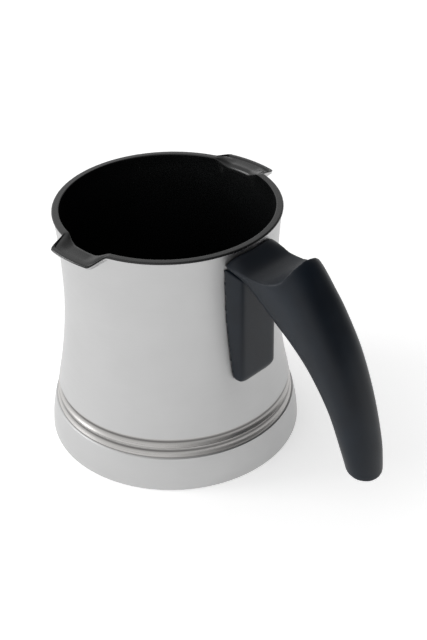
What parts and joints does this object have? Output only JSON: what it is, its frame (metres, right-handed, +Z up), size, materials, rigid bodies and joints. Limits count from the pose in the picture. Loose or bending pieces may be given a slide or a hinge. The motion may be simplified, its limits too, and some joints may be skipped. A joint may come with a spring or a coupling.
{
  "type": "candle melting pot",
  "caption": "Waisted metal melting pot with opposed pouring lips, non-stick inside and a drooping moulded side handle.",
  "frame": {"origin": "centre of the flat underside of the base", "axes": "+Z up, +X towards the handle, the two pouring lips along -Y and +Y"},
  "size_m": [0.2128, 0.1392, 0.1391],
  "materials": {
    "pot_aluminium": "satin outside with polished grooves, black non-stick coating inside and over the rim",
    "rivet_aluminium": "plain aluminium",
    "bracket_steel": "dull zinc-plated sheet",
    "handle_plastic": "fine satin black moulding",
    "screw_steel": "zinc-plated"
  },
  "bodies": {
    "root": {"pot_body": "pot_aluminium", "bracket_rivet_lower": "rivet_aluminium", "bracket_rivet_upper": "rivet_aluminium", "handle_bracket": "bracket_steel", "handle_foot": "handle_plastic", "handle_grip": "handle_plastic", "screw_washer": "screw_steel", "handle_screw": "screw_steel"}
  },
  "joints": []
}
